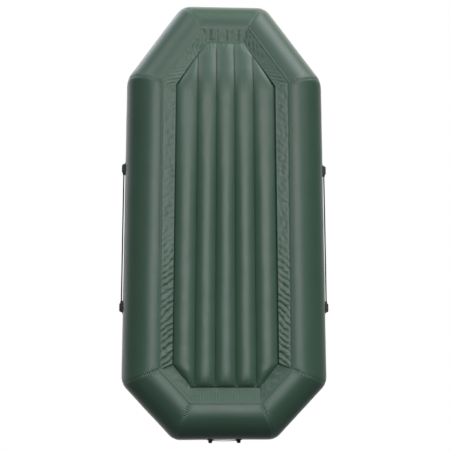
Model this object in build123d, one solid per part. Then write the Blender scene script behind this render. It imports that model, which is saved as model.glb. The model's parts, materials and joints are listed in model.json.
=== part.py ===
from build123d import *
from math import atan2, cos, pi, radians, sin, sqrt, tan
import os

# Small inflatable boat with an eight-sided hull tube and an air floor.
# Millimetres. +Z is up, the bow points to -Y, port is +X.
# The origin is on the ground under the middle of the boat.

# ---- driving dimensions ------------------------------------------------------------
tube_radius = 174.0
fabric = 0.9
glue_gap = 0.3

bow_shoulder_x = 420.0
bow_shoulder_y = -779.0
stern_shoulder_x = 432.0
stern_shoulder_y = 925.0
stern_corner_x = 223.0
stern_corner_y = 1146.0
bow_corner_x = 173.0
bow_corner_y = -1164.0
bow_rise = 115.0

tape_width = 50.0
tape_thickness = 0.6
bulkhead_flange = 25.0

seam_angle = 13.5
leave_angle = 18.0
sheet_gap = 0.6
weld_height = 31.0
mat_side_clearance = 4.0
mat_stern_corner_clearance = 7.0
mat_stern_clearance = 22.0
mat_bow_clearance = 35.0
mat_shoulder_aft = 8.0
mat_bow_half_width = 112.0
cell_bulge = 20.0
cell_edges_bow = (53.0, 165.0)
cell_edges_stern = (60.0, 179.0)
lens_inset = 2.0

patch_thickness = 1.5
holder_y = (-286.0, 548.0)
holder_length = 72.0
holder_crown = 44.0
holder_height = 24.0
holder_stand = 21.0
holder_margin = 9.0
bevel_waist = (0.3, 0.55)
block_root = 6.0
rope_radius = 4.0
rope_offset = 9.0
rope_clearance = 0.6
rope_depth = 44.0
rope_sag = 3.0
rope_low_points = ((0.27, 1.0), (0.71, 1.15))
rope_bend_share = 0.45

anchor_x = 83.5
anchor_length = 68.0
anchor_crown = 46.0
anchor_width = 24.0
anchor_stand = 18.0
strap_width = 25.0
strap_thickness = 1.6

oarlock_y = 31.0
pad_length = 110.0
pad_width = 84.0
pad_thickness = 3.0
boss_radius = 17.0
boss_height = 28.0
pin_radius = 7.0
pin_clearance = 0.05
pin_length = 24.0
collar_radius = 12.0
collar_height = 6.0
oar_radius = 17.5
ring_wall = 7.0
ring_length = 26.0

tow_patch_length = 90.0
tow_patch_width = 56.0
saddle_length = 26.0
saddle_width = 16.0
tow_pivot_height = 9.0
tow_wire = 2.5
tow_wire_clearance = 0.08
tow_inner_width = 40.0
tow_inner_reach = 30.0
tow_rest_angle = 12.0
tow_bend = 7.5
tow_saddle_wall = 3.0

valve_flange_radius = 26.0
valve_flange_thickness = 2.5
valve_body_radius = 15.0
valve_bore_radius = 12.0
valve_neck_top = 12.0
valve_depth = 20.0
valve_seat_radius = 8.5
valve_seat_thickness = 3.0
web_top = -12.0
web_thickness = 3.0
stem_radius = 2.5
stem_clearance = 0.06
button_radius = 5.0
button_top = 0.5
button_thickness = 2.5
foot_radius = 11.0
foot_thickness = 3.0
spring_coil_radius = 4.0
spring_wire = 0.5
spring_turns = 4
cap_radius = 18.0
cap_clearance = 0.5
cap_top = 3.0
cap_grip = (26.0, 5.0, 5.0)
floor_valve_y = 891.0

run_names = [
    "port", "stern_port", "stern", "stern_starboard",
    "starboard", "bow_starboard", "bow", "bow_port",
]
parts = {}

# ---- the ring of tube centrelines ---------------------------------------------------
rise_angle = atan2(bow_rise, bow_shoulder_y - bow_corner_y)
axis_height = tube_radius
corner = [
    Vector(bow_shoulder_x, bow_shoulder_y, axis_height),
    Vector(stern_shoulder_x, stern_shoulder_y, axis_height),
    Vector(stern_corner_x, stern_corner_y, axis_height),
    Vector(-stern_corner_x, stern_corner_y, axis_height),
    Vector(-stern_shoulder_x, stern_shoulder_y, axis_height),
    Vector(-bow_shoulder_x, bow_shoulder_y, axis_height),
    Vector(-bow_corner_x, bow_corner_y, axis_height + bow_rise),
    Vector(bow_corner_x, bow_corner_y, axis_height + bow_rise),
]
count = len(corner)
flat_up = Vector(0, 0, 1)
bow_up = Vector(0, sin(rise_angle), cos(rise_angle))
bow_forward = Vector(0, -cos(rise_angle), sin(rise_angle))


def run_direction(i):
    return (corner[(i + 1) % count] - corner[i % count]).normalized()


def run_up(i):
    return bow_up if run_names[i % count].startswith("bow") else flat_up


def run_outward(i):
    return run_direction(i).cross(run_up(i)).normalized()


def mitre_normal(i):
    """Direction across the mitre plane at a corner, half way between its two runs."""
    return (run_direction(i - 1) + run_direction(i)).normalized()


def mitre_plane(i, shift=0.0):
    return Plane(origin=corner[i % count] + mitre_normal(i) * shift, z_dir=mitre_normal(i))


def run_bar(i, radius):
    """Round bar along one run, long enough to pass both of its mitre planes."""
    start = corner[i % count] - run_direction(i) * tube_radius
    length = (corner[(i + 1) % count] - corner[i % count]).length + 2 * tube_radius
    return extrude(Plane(origin=start, z_dir=run_direction(i)) * Circle(radius), amount=length)


def run_shell(i, outer, wall):
    return run_bar(i, outer) - run_bar(i, outer - wall)


def between(solid, first, last):
    """The stretch of a solid that lies after one plane and before another."""
    solid = split(solid, bisect_by=first, keep=Keep.TOP)
    return split(solid, bisect_by=last, keep=Keep.BOTTOM)


def run_frame(i, distance, tilt):
    """Plane on a run's surface: x along the run, z straight out of the tube.

    tilt is the angle above the outward direction, so 90 is the tube's top."""
    out = run_outward(i) * cos(radians(tilt)) + run_up(i) * sin(radians(tilt))
    origin = corner[i % count] + run_direction(i) * distance + out * tube_radius
    return Plane(origin=origin, x_dir=run_direction(i), z_dir=out)


def curved_patch(length, width, base, thickness):
    """Sheet bent round the tube, in a run_frame: length along the run."""
    ring = Cylinder(tube_radius + base + thickness, length) - Cylinder(tube_radius + base, length)
    ring = Pos(0, 0, -tube_radius) * Rot(0, 90, 0) * ring
    return ring & Pos(0, 0, -tube_radius / 2) * Box(length, width, 2 * tube_radius)


def tube_core(length):
    """The room the tube and its glue take, in a run_frame."""
    return Pos(0, 0, -tube_radius) * Rot(0, 90, 0) * Cylinder(tube_radius + glue_gap, length)


# ---- air valve, upright, with its origin on the skin it sits in ------------------------
def valve_pieces():
    flange = Pos(0, 0, glue_gap) * extrude(Circle(valve_flange_radius), valve_flange_thickness)
    body = Pos(0, 0, -valve_depth) * extrude(
        Circle(valve_body_radius), valve_depth + valve_neck_top)
    bore = Pos(0, 0, -valve_depth + valve_seat_thickness) * extrude(
        Circle(valve_bore_radius), valve_depth + valve_neck_top)
    seat_hole = Pos(0, 0, -valve_depth) * extrude(
        Circle(valve_seat_radius), valve_seat_thickness)
    web = Pos(0, 0, web_top - web_thickness) * extrude(
        Circle(valve_bore_radius), web_thickness)
    web -= Pos(0, 0, web_top - web_thickness) * extrude(
        Circle(stem_radius + stem_clearance), web_thickness)
    air_hole = (valve_bore_radius - stem_radius) / 4
    for hole in PolarLocations((valve_bore_radius + stem_radius) / 2, 4):
        web -= Pos(0, 0, web_top - web_thickness) * hole * extrude(
            Circle(air_hole), web_thickness)
    base = flange + body - bore - seat_hole + web

    foot_top = -valve_depth - glue_gap
    plunger = Pos(0, 0, foot_top - foot_thickness) * extrude(Circle(foot_radius), foot_thickness)
    plunger += Pos(0, 0, foot_top) * extrude(Circle(stem_radius), button_top - foot_top)
    plunger += Pos(0, 0, button_top - button_thickness) * extrude(
        Circle(button_radius), button_thickness)

    seat_gap = glue_gap + spring_wire
    low = web_top + seat_gap
    height = button_top - button_thickness - seat_gap - low
    coil = Helix(pitch=height / spring_turns, height=height, radius=spring_coil_radius)
    wire = Plane(origin=coil @ 0, z_dir=coil % 0) * Circle(spring_wire)
    spring = Pos(0, 0, low) * sweep(wire, path=coil, is_frenet=True)

    skirt_low = 2 * glue_gap + valve_flange_thickness
    inside_top = valve_neck_top + cap_clearance
    cap = Pos(0, 0, skirt_low) * extrude(Circle(cap_radius), inside_top + cap_top - skirt_low)
    cap -= Pos(0, 0, skirt_low) * extrude(
        Circle(valve_body_radius + cap_clearance), inside_top - skirt_low)
    cap += Pos(0, 0, inside_top + cap_top + cap_grip[2] / 2) * Box(*cap_grip)
    return {"base": base, "plunger": plunger, "spring": spring, "cap": cap}


valve_hole_radius = valve_body_radius + glue_gap


def add_valve(name, place):
    for piece, solid in valve_pieces().items():
        parts[f"valve_{name}_{piece}"] = place * solid


def run_length(i):
    return (corner[(i + 1) % count] - corner[i]).length


# ---- hull tubes, the tapes inside their mitres and the two bulkheads -------------------
valve_runs = {"stern_port": "port", "stern_starboard": "starboard"}
for i, name in enumerate(run_names):
    shell = between(run_shell(i, tube_radius, fabric), mitre_plane(i), mitre_plane(i + 1))
    if name in valve_runs:
        top = run_frame(i, run_length(i) / 2, 90).origin
        place = Pos(top.X, top.Y, top.Z)
        shell -= place * Cylinder(valve_hole_radius, 2 * valve_depth)
        add_valve(valve_runs[name], place)
    parts[f"tube_{name}"] = shell

corner_names = [
    "bow_shoulder_port", "stern_shoulder_port", "stern_corner_port", "stern_corner_starboard",
    "stern_shoulder_starboard", "bow_shoulder_starboard", "bow_corner_starboard",
    "bow_corner_port",
]
inside_radius = tube_radius - fabric - glue_gap
for i, name in enumerate(corner_names):
    before = between(run_shell(i - 1, inside_radius, tape_thickness),
                     mitre_plane(i, -tape_width / 2), mitre_plane(i))
    after = between(run_shell(i, inside_radius, tape_thickness),
                    mitre_plane(i), mitre_plane(i, tape_width / 2))
    parts[f"seam_tape_{name}"] = before + after

for name in ("bow", "stern"):
    i = run_names.index(name)
    middle = corner[i] + run_direction(i) * (run_length(i) / 2)
    wall = extrude(Circle(inside_radius), bulkhead_flange)
    wall -= Pos(0, 0, fabric) * extrude(Circle(inside_radius - fabric), bulkhead_flange - fabric)
    parts[f"bulkhead_{name}"] = Plane(origin=middle, z_dir=run_direction(i)) * wall

# ---- floor outline -------------------------------------------------------------------
weld_depth = axis_height - weld_height
half_turn = tan(rise_angle / 2)
crest_depth = weld_depth - cell_bulge
mat_room = sqrt(tube_radius ** 2 - crest_depth ** 2)


def bow_point(x, forward, depth):
    """Point of the raised bow part: forward of the shoulder line, below the tube axes."""
    shoulder_line = Vector(x, bow_shoulder_y, axis_height)
    return shoulder_line + bow_forward * forward - bow_up * depth


def fold_point(x, depth):
    """Point of the plane where the floor turns up towards the bow."""
    return Vector(x, bow_shoulder_y - depth * half_turn, axis_height - depth)


def side_x(y):
    """Half width of the mat between its port and starboard edges."""
    slope = (stern_shoulder_x - bow_shoulder_x) / (stern_shoulder_y - bow_shoulder_y)
    return bow_shoulder_x + slope * (y - bow_shoulder_y) - mat_room - mat_side_clearance


bow_run = (corner[7] - corner[0]).dot(bow_forward)
mat_bow_forward = bow_run - mat_room - mat_bow_clearance
mat_shoulder_y = bow_shoulder_y + mat_shoulder_aft
mat_stern_y = stern_corner_y - mat_room - mat_stern_clearance
stern_run = run_names.index("stern_port")
stern_line = corner[stern_run] - run_outward(stern_run) * (
    mat_room + mat_stern_corner_clearance)
stern_way = run_direction(stern_run)
mat_stern_x = stern_line.X + stern_way.X * (mat_stern_y - stern_line.Y) / stern_way.Y
side_slope = side_x(1.0) - side_x(0.0)
meet = (stern_line.X - side_x(stern_line.Y)) / (side_slope * stern_way.Y - stern_way.X)
mat_shoulder = stern_line + stern_way * meet
fold_line_y = fold_point(0, weld_depth).Y
share = (mat_shoulder_y - fold_line_y) / (
    mat_shoulder_y - fold_line_y + mat_bow_forward + weld_depth * half_turn)
fold_x = side_x(mat_shoulder_y) + share * (mat_bow_half_width - side_x(mat_shoulder_y))

port_outline = [
    bow_point(mat_bow_half_width, mat_bow_forward, weld_depth),
    fold_point(fold_x, weld_depth),
    Vector(side_x(mat_shoulder_y), mat_shoulder_y, weld_height),
    Vector(mat_shoulder.X, mat_shoulder.Y, weld_height),
    Vector(mat_stern_x, mat_stern_y, weld_height),
]
tube_of_outline = [7, 0, 0, 1, 2]


def under_tube(i, angle):
    """Corner of a line that runs along the tubes' undersides, inboard by an angle.

    It lies on both tubes, half way between the places where the two lines would end."""
    way = run_direction(i)
    spoke = Vector(0, 0, 0)
    for run in (i - 1, i):
        out = run_outward(run) * -sin(radians(angle)) - run_up(run) * cos(radians(angle))
        slide = -out.dot(mitre_normal(i)) / run_direction(run).dot(mitre_normal(i))
        end = out + run_direction(run) * slide
        spoke += (end - way * end.dot(way)).normalized()
    spoke = spoke.normalized()
    slide = -spoke.dot(mitre_normal(i)) / way.dot(mitre_normal(i))
    return corner[i] + (spoke + way * slide) * (tube_radius + sheet_gap)


# ---- bottom sheet: glued strip under the tubes and the skirt in to the mat ---------------
def port_row(points):
    """A row of the sheet's port half, from the boat's middle line round to it again."""
    bow, stern = points[0], points[-1]
    return [Vector(0, bow.Y, bow.Z), *points, Vector(0, stern.Y, stern.Z)]


def sheet_solid():
    rows = [port_row([under_tube(i, angle) for i in tube_of_outline])
            for angle in (seam_angle, leave_angle)]
    rows.append(port_row(port_outline))
    down = Vector(0, 0, -fabric)
    half = []
    for outer, inner in zip(rows, rows[1:]):
        for k in range(len(outer) - 1):
            if (outer[k] - outer[k + 1]).length > fabric:
                half.append((outer[k], outer[k + 1], inner[k + 1]))
            if (inner[k] - inner[k + 1]).length > fabric:
                half.append((outer[k], inner[k + 1], inner[k]))
    half += [(a + down, c + down, b + down) for a, b, c in half]
    for row in (rows[0], rows[-1][::-1]):
        for start, end in zip(row, row[1:]):
            if (start - end).length > fabric:
                half.append((start, end + down, end))
                half.append((start, start + down, end + down))
    starboard = [[Vector(-p.X, p.Y, p.Z) for p in (a, c, b)] for a, b, c in half]
    faces = [Face(Wire.make_polygon(three, close=True)) for three in [*half, *starboard]]
    return Solid(Shell(faces))


parts["bottom_sheet"] = sheet_solid()


# ---- air floor: five sealed cells side by side -------------------------------------------
def lens(points):
    """Lens-shaped section through its two edges and its two crests."""
    left, top, right, bottom = points
    outline = [ThreePointArc(left, top, right), ThreePointArc(right, bottom, left)]
    return Face(Wire(outline))


def cell_solid(bow_edges, stern_edges, inset, end_inset, bulge):
    stern_y = mat_stern_y - glue_gap - end_inset
    bow_end = mat_bow_forward - glue_gap - end_inset
    fold_share = (stern_y - fold_line_y) / (stern_y - fold_line_y + bow_end)
    fold_edges = [s + (b - s) * fold_share for s, b in zip(stern_edges, bow_edges)]
    sections = []
    places = [
        (stern_edges, lambda x, depth: Vector(x, stern_y, axis_height - depth)),
        (fold_edges, fold_point),
        (bow_edges, lambda x, depth: bow_point(x, bow_end, depth)),
    ]
    for (left, right), place in places:
        left += inset
        right -= inset
        middle = (left + right) / 2
        sections.append(lens([
            place(left, weld_depth), place(middle, weld_depth - bulge),
            place(right, weld_depth), place(middle, weld_depth + bulge),
        ]))
    return loft(sections, ruled=True)


def corner_cut(solid, side, inset):
    """Trims a cell to the mat's slanting bow and stern edges on one side."""
    bow_corner, _, bow_end, stern_start, stern_end = port_outline
    up_mid = (flat_up + bow_up).normalized()
    for start, end, up in ((bow_end, bow_corner, up_mid), (stern_end, stern_start, flat_up)):
        start = Vector(side * start.X, start.Y, start.Z)
        end = Vector(side * end.X, end.Y, end.Z)
        inward = (end - start).cross(up).normalized()
        if inward.X * side > 0:
            inward = inward * -1
        plane = Plane(origin=start + inward * (glue_gap + inset), z_dir=inward)
        solid = split(solid, bisect_by=plane, keep=Keep.TOP)
    return solid


bow_end_y = fold_line_y - mat_bow_forward - weld_depth * half_turn
bow_lines = [*cell_edges_bow, side_x(bow_end_y)]
stern_lines = [*cell_edges_stern, side_x(mat_stern_y)]
lines = [
    (-bow_lines[2], -stern_lines[2]), (-bow_lines[1], -stern_lines[1]),
    (-bow_lines[0], -stern_lines[0]), (bow_lines[0], stern_lines[0]),
    (bow_lines[1], stern_lines[1]), (bow_lines[2], stern_lines[2]),
]
floor_valve_x = (cell_edges_stern[0] + cell_edges_stern[1]) / 2
floor_valve = Pos(floor_valve_x, floor_valve_y, weld_height + cell_bulge)
for k in range(len(lines) - 1):
    bow_edges = (lines[k][0], lines[k + 1][0])
    stern_edges = (lines[k][1], lines[k + 1][1])
    outside = cell_solid(bow_edges, stern_edges, glue_gap / 2, 0, cell_bulge)
    inside = cell_solid(bow_edges, stern_edges, lens_inset, fabric, cell_bulge - fabric)
    side = (lines[k][0] + lines[k + 1][0] > 1) - (lines[k][0] + lines[k + 1][0] < -1)
    if side:
        outside = corner_cut(outside, side, 0)
        inside = corner_cut(inside, side, fabric)
    cell = outside - inside
    if stern_edges[0] < floor_valve_x < stern_edges[1]:
        cell -= floor_valve * Cylinder(valve_hole_radius, 2 * cell_bulge)
    parts[f"floor_cell_{k + 1}"] = cell
add_valve("floor", floor_valve)


# ---- grab ropes and their moulded holders on the side tubes ------------------------------
def moulded_fitting(length, crown, width, stand, upright):
    """Bevelled rubber block on its patch, in a run_frame; upright stands it across the run."""
    bevel = (length - crown) / 2
    waist = length / 2 - bevel * bevel_waist[0]
    outline = Polyline(
        (-length / 2, -block_root), (-length / 2, 0), (-waist, stand * bevel_waist[1]),
        (-crown / 2, stand), (crown / 2, stand), (waist, stand * bevel_waist[1]),
        (length / 2, 0), (length / 2, -block_root), close=True)
    block = extrude(Plane.XZ.offset(-width / 2) * make_face(outline), amount=width)
    patch_size = (length + 2 * holder_margin, width + 2 * holder_margin)
    if upright:
        block = Rot(0, 0, 90) * block
        patch_size = (patch_size[1], patch_size[0])
    patch = curved_patch(*patch_size, glue_gap, patch_thickness)
    return block + patch - tube_core(length + width)


def rope_place(run, distance):
    """Frame on the rope's line, beside the tube's widest point."""
    frame = run_frame(run, distance, 0)
    return frame.origin + frame.z_dir * rope_offset


def station(run, y):
    return (y - corner[run].Y) / run_direction(run).Y


for side in ("port", "starboard"):
    run = run_names.index(side)
    towards = -1 if side == "starboard" else 1
    stops = []
    for place, y, facing in (("bow", holder_y[0], 1), ("stern", holder_y[1], -1)):
        along = station(run, y)
        fitting = moulded_fitting(
            holder_length, holder_crown, holder_height, holder_stand, upright=False)
        mouth = facing * towards
        depth_end = mouth * (holder_length / 2 - rope_depth)
        bore_middle = (depth_end + mouth * holder_length) / 2
        bore_length = abs(mouth * holder_length - depth_end)
        bore = Pos(bore_middle, 0, rope_offset) * Rot(0, 90, 0) * Cylinder(
            rope_radius + rope_clearance, bore_length)
        parts[f"rope_holder_{side}_{place}"] = run_frame(run, along, 0) * (fitting - bore)
        stops.append(along + depth_end + mouth * glue_gap)
    ends = [rope_place(run, stop) for stop in stops]
    low_points = [
        ends[0] + (ends[1] - ends[0]) * share - Vector(0, 0, rope_sag * depth)
        for share, depth in rope_low_points]
    route = [ends[0], *low_points, ends[1]]
    radii = []
    for k in (1, 2):
        back = route[k] - route[k - 1]
        ahead = route[k + 1] - route[k]
        half = radians(back.get_angle(ahead)) / 2
        radii.append(rope_bend_share * min(back.length, ahead.length) / tan(half))
    path = FilletPolyline(*route, radius=radii)
    rope = sweep(Plane(origin=path @ 0, z_dir=path % 0) * Circle(rope_radius), path=path)
    parts[f"grab_rope_{side}"] = rope
    points = [tuple(round(v, 2) for v in p) for p in route]
    print("rope", side, "points", points, "radii", [round(r) for r in radii])
    section = pi * rope_radius ** 2
    print("  length", round(path.length, 2), "volume ratio", rope.volume / section / path.length)

# ---- stern carry handle: two upright anchors and a strap ---------------------------------
run = run_names.index("stern")
for side, sign in (("port", 1), ("starboard", -1)):
    along = (sign * anchor_x - corner[run].X) / run_direction(run).X
    parts[f"handle_anchor_{side}"] = run_frame(run, along, 0) * moulded_fitting(
        anchor_length, anchor_crown, anchor_width, anchor_stand, upright=True)
strap_length = 2 * (anchor_x - anchor_width / 2 - glue_gap)
strap = curved_patch(strap_length, strap_width, 2 * glue_gap + patch_thickness, strap_thickness)
parts["handle_strap"] = run_frame(run, run_length(run) / 2, 0) * strap

# ---- oarlocks on top of the side tubes ----------------------------------------------------
for side in ("port", "starboard"):
    run = run_names.index(side)
    frame = run_frame(run, station(run, oarlock_y), 90)
    pad = curved_patch(pad_length, pad_width, glue_gap, pad_thickness)
    boss = Pos(0, 0, glue_gap + pad_thickness / 2) * extrude(
        Circle(boss_radius), boss_height - glue_gap - pad_thickness / 2)
    pad += boss
    pad -= Pos(0, 0, boss_height - pin_length) * extrude(
        Circle(pin_radius + pin_clearance), pin_length)
    parts[f"oarlock_pad_{side}"] = frame * pad
    pin_low = boss_height - pin_length + glue_gap
    swivel = Pos(0, 0, pin_low) * extrude(Circle(pin_radius), boss_height - pin_low + glue_gap)
    swivel += Pos(0, 0, boss_height + glue_gap) * extrude(Circle(collar_radius), collar_height)
    ring_radius = oar_radius + ring_wall
    ring_height = boss_height + glue_gap + collar_height + ring_radius - ring_wall / 2
    across = Pos(0, 0, ring_height) * Rot(90, 0, 0)
    swivel += across * Cylinder(ring_radius, ring_length)
    swivel -= across * Cylinder(oar_radius, ring_length)
    parts[f"oarlock_swivel_{side}"] = frame * swivel
    print("oarlock", side, "axis at", frame.origin, "ring centre height", ring_height)

# ---- towing ring on top of the bow tube ---------------------------------------------------
run = run_names.index("bow")
bow_top = corner[run] + run_direction(run) * (run_length(run) / 2) + flat_up * tube_radius
tow_frame = Plane(origin=bow_top, x_dir=(1, 0, 0), z_dir=(0, 0, 1))
patch = curved_patch(tow_patch_length, tow_patch_width, glue_gap, patch_thickness)
saddle_top = tow_pivot_height + tow_wire + tow_saddle_wall
saddle = Pos(0, 0, (saddle_top + glue_gap) / 2) * Box(
    saddle_length, saddle_width, saddle_top - glue_gap)
bore = Pos(0, 0, tow_pivot_height) * Rot(0, 90, 0) * Cylinder(
    tow_wire + tow_wire_clearance, saddle_length)
parts["tow_patch"] = tow_frame * (patch + saddle - tube_core(tow_patch_length) - bore)
half_width = tow_inner_width / 2 + tow_wire
reach = tow_inner_reach + 2 * tow_wire
path = Pos(0, reach / 2) * RectangleRounded(2 * half_width, reach, tow_bend).wire()
wire = sweep(Plane(origin=path @ 0, z_dir=path % 0) * Circle(tow_wire), path=path)
parts["tow_ring"] = tow_frame * Pos(0, 0, tow_pivot_height) * Rot(-tow_rest_angle, 0, 0) * wire

os.makedirs("parts", exist_ok=True)
for name, solid in parts.items():
    export_step(solid, f"parts/{name}.step")
print(len(parts), "nodes")
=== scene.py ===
import bmesh
import bpy
import json
from math import atan2, cos, exp, pi, radians, sin, sqrt
from mathutils import Matrix, Vector, noise


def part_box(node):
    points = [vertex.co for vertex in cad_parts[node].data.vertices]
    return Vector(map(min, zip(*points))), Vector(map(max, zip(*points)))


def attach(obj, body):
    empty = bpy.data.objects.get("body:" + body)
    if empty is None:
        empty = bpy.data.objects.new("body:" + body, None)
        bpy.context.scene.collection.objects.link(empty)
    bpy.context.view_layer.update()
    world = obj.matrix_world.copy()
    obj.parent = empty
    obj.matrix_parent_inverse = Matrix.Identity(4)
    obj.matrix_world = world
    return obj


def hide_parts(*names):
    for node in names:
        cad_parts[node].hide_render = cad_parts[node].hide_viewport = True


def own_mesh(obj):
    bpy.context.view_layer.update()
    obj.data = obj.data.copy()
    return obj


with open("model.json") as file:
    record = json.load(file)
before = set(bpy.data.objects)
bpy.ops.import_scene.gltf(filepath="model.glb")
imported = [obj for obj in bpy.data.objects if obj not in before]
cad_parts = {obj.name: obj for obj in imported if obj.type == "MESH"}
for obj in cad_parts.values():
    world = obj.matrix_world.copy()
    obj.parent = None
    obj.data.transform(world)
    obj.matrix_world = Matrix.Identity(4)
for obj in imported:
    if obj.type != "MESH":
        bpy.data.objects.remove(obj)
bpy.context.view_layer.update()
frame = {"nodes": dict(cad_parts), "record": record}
print("boat frame loaded")

# the boat stands upright in the frame and is looked at from below, with its bow up in the view
view = {"place": (-0.340, 0.819, -5.990), "target": (0.004, 0.049, 0.174), "lens": 82.6}


def makeCamera():
    data = bpy.data.cameras.new("lookUpAtHull")
    data.lens = view["lens"]
    eye = bpy.data.objects.new("lookUpAtHull", data)
    ahead = (Vector(view["target"]) - Vector(view["place"])).normalized()
    right = ahead.cross(Vector((0, -1, 0))).normalized()
    turn = Matrix((right, right.cross(ahead), -ahead)).transposed()
    eye.matrix_world = Matrix.Translation(view["place"]) @ turn.to_4x4()
    bpy.context.scene.collection.objects.link(eye)
    bpy.context.scene.camera = eye


makeCamera()


def feed(tree, socket, value):  # a socket takes another node's output or a plain value
    if isinstance(value, bpy.types.NodeSocket):
        tree.links.new(value, socket)
    else:
        socket.default_value = value


def addNode(tree, kind, feeds=(), **settings):
    node = tree.nodes.new(kind)
    for key, value in settings.items():
        setattr(node, key, value)
    for key, value in dict(feeds).items():
        feed(tree, node.inputs[key], value)
    return node


def mathNode(tree, operation, *values, clamp=False):
    node = addNode(tree, "ShaderNodeMath", enumerate(values), operation=operation, use_clamp=clamp)
    return node.outputs[0]


def newGroup(name, inputs, outputs):
    tree = bpy.data.node_groups.new(name, "ShaderNodeTree")
    for label, kind, value in inputs:
        socket = tree.interface.new_socket(label, in_out="INPUT", socket_type=kind)
        socket.default_value = value
    for label, kind in outputs:
        tree.interface.new_socket(label, in_out="OUTPUT", socket_type=kind)
    return tree, tree.nodes.new("NodeGroupInput").outputs, tree.nodes.new("NodeGroupOutput").inputs


def noiseValue(tree, place, scale, detail, roughness=0.5):
    feeds = {"Vector": place, "Scale": scale, "Detail": detail, "Roughness": roughness}
    return addNode(tree, "ShaderNodeTexNoise", feeds).outputs["Fac"]


def bandValue(tree, place, scale, distortion, direction):
    feeds = {"Vector": place, "Scale": scale, "Distortion": distortion}
    return addNode(tree, "ShaderNodeTexWave", feeds, wave_type="BANDS",
                   bands_direction=direction).outputs["Fac"]


cloth = {"distortion": 0.6, "blotchDetail": 5.0, "stretch": (6.0, 70.0, 6.0), "streakScale": 1.0,
         "streakDetail": 3.0, "ribScale": 420.0, "blotchScale": 9.0, "ribDepth": 0.0004,
         "streakDepth": 0.0015, "ior": 1.5}


def coatedClothGroup():  # fine cloth ribs under the coating, plus soft blotches
    tree, inn, out = newGroup(
        "coatedCloth",
        [("Vector", "NodeSocketVector", (0, 0, 0)), ("Rib Scale", "NodeSocketFloat", cloth["ribScale"]),
         ("Blotch Scale", "NodeSocketFloat", cloth["blotchScale"])],
        [("Height", "NodeSocketFloat"), ("Blotch", "NodeSocketFloat"), ("Streak", "NodeSocketFloat")])
    place = inn["Vector"]
    ribs = [bandValue(tree, place, inn["Rib Scale"], cloth["distortion"], way) for way in ("X", "Y")]
    stretch = addNode(tree, "ShaderNodeMapping", {"Vector": place, "Scale": cloth["stretch"]})
    feed(tree, out["Height"], mathNode(tree, "MULTIPLY", *ribs))
    feed(tree, out["Blotch"], noiseValue(tree, place, inn["Blotch Scale"], cloth["blotchDetail"]))
    feed(tree, out["Streak"], noiseValue(tree, stretch.outputs["Vector"], cloth["streakScale"],
                                         cloth["streakDetail"]))
    return tree


scuff = {"grainScale": 900.0, "wearScale": 40.0, "grainDetail": 2.0, "wearDetail": 6.0,
         "wearRoughness": 0.65, "wearFrom": 0.42, "wearTo": 0.72, "grainDepth": 0.0003}


def scuffGroup():  # dull rubbed patches and fine pits on moulded pieces
    tree, inn, out = newGroup(
        "scuffs",
        [("Vector", "NodeSocketVector", (0, 0, 0)), ("Grain Scale", "NodeSocketFloat", scuff["grainScale"]),
         ("Wear Scale", "NodeSocketFloat", scuff["wearScale"])],
        [("Height", "NodeSocketFloat"), ("Wear", "NodeSocketFloat")])
    place = inn["Vector"]
    wear = noiseValue(tree, place, inn["Wear Scale"], scuff["wearDetail"], scuff["wearRoughness"])
    sharp = addNode(tree, "ShaderNodeMapRange",
                    {"Value": wear, "From Min": scuff["wearFrom"], "From Max": scuff["wearTo"]})
    feed(tree, out["Height"], noiseValue(tree, place, inn["Grain Scale"], scuff["grainDetail"]))
    feed(tree, out["Wear"], sharp.outputs["Result"])
    return tree


def mixColor(tree, factor, first, second):
    return addNode(tree, "ShaderNodeMix", {0: factor, 6: (*first, 1), 7: (*second, 1)},
                   data_type="RGBA").outputs[2]


def mapValue(tree, value, low, high):
    return addNode(tree, "ShaderNodeMapRange",
                   {"Value": value, "To Min": low, "To Max": high}).outputs["Result"]


def startMaterial(name):
    material = bpy.data.materials.new(name)
    material.use_nodes = True
    tree = material.node_tree
    shader = tree.nodes["Principled BSDF"]
    place = addNode(tree, "ShaderNodeTexCoord").outputs["Object"]
    return material, tree, shader, place


def addBump(tree, shader, height, distance, strength, before=None):
    feeds = {"Height": height, "Distance": distance, "Strength": strength}
    if before is not None:
        feeds["Normal"] = before
    bump = addNode(tree, "ShaderNodeBump", feeds).outputs["Normal"]
    feed(tree, shader.inputs["Normal"], bump)
    return bump


clothTree = coatedClothGroup()
scuffTree = scuffGroup()


def creaseHeight(tree, crease, blotch):  # fine gathers that fade away from the mitre seams
    seam = addNode(tree, "ShaderNodeAttribute", attribute_name="seamDistance").outputs["Fac"]
    around = addNode(tree, "ShaderNodeAttribute", attribute_name="aroundTube").outputs["Fac"]
    near = mathNode(tree, "SUBTRACT", 1.0, mathNode(tree, "MULTIPLY", seam, 1 / crease["reach"]), clamp=True)
    wobble = mathNode(tree, "MULTIPLY", blotch, crease["wobble"])
    phase = mathNode(tree, "MULTIPLY", around, crease["count"])
    fold = mathNode(tree, "SINE", mathNode(tree, "ADD", phase, wobble))
    return mathNode(tree, "MULTIPLY", fold, mathNode(tree, "MULTIPLY", near, near))


def coatedFabric(name, look):
    material, tree, shader, place = startMaterial(name)
    made = addNode(tree, "ShaderNodeGroup", node_tree=clothTree)
    feed(tree, made.inputs["Rib Scale"], look["ribScale"])
    feed(tree, made.inputs["Blotch Scale"], look["blotchScale"])
    feed(tree, made.inputs["Vector"], place)
    height, blotch, streak = made.outputs
    feed(tree, shader.inputs["Base Color"], mixColor(tree, blotch, look["dark"], look["light"]))
    feed(tree, shader.inputs["Roughness"], mapValue(tree, streak, *look["roughness"]))
    feed(tree, shader.inputs["IOR"], cloth["ior"])
    normal = addBump(tree, shader, height, cloth["ribDepth"], look["ribs"])
    normal = addBump(tree, shader, streak, cloth["streakDepth"], look["streaks"], normal)
    crease = look["creases"]
    if crease:
        folds = creaseHeight(tree, crease, blotch)
        addBump(tree, shader, folds, crease["depth"], crease["strength"], normal)
    return material


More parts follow.
